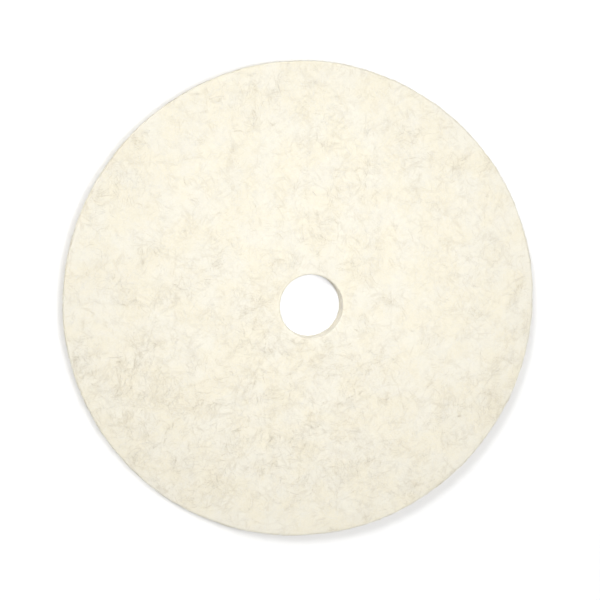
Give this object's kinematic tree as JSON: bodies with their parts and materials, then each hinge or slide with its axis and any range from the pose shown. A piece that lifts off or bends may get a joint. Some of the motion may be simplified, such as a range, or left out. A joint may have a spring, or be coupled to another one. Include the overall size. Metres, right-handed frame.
{
  "type": "burnishing pad",
  "caption": "Thick round nonwoven pad of cream polyester and natural hair with a centre hole, for burnishing and polishing hard floors on a rotary machine.",
  "frame": {"origin": "centre of the lower face, on the hole's axis, at the plane the pad rests on", "axes": "+Z along the centre hole's axis, from the lower face to the upper face"},
  "size_m": [0.6099, 0.61, 0.0254],
  "materials": {
    "face_web": "matte",
    "core_web": "matte"
  },
  "bodies": {
    "root": {"upper_face_ply": "face_web", "core_ply_1": "core_web", "core_ply_2": "core_web", "core_ply_3": "core_web", "core_ply_4": "core_web", "core_ply_5": "core_web", "core_ply_6": "core_web", "core_ply_7": "core_web", "core_ply_8": "core_web", "lower_face_ply": "face_web"}
  },
  "joints": []
}
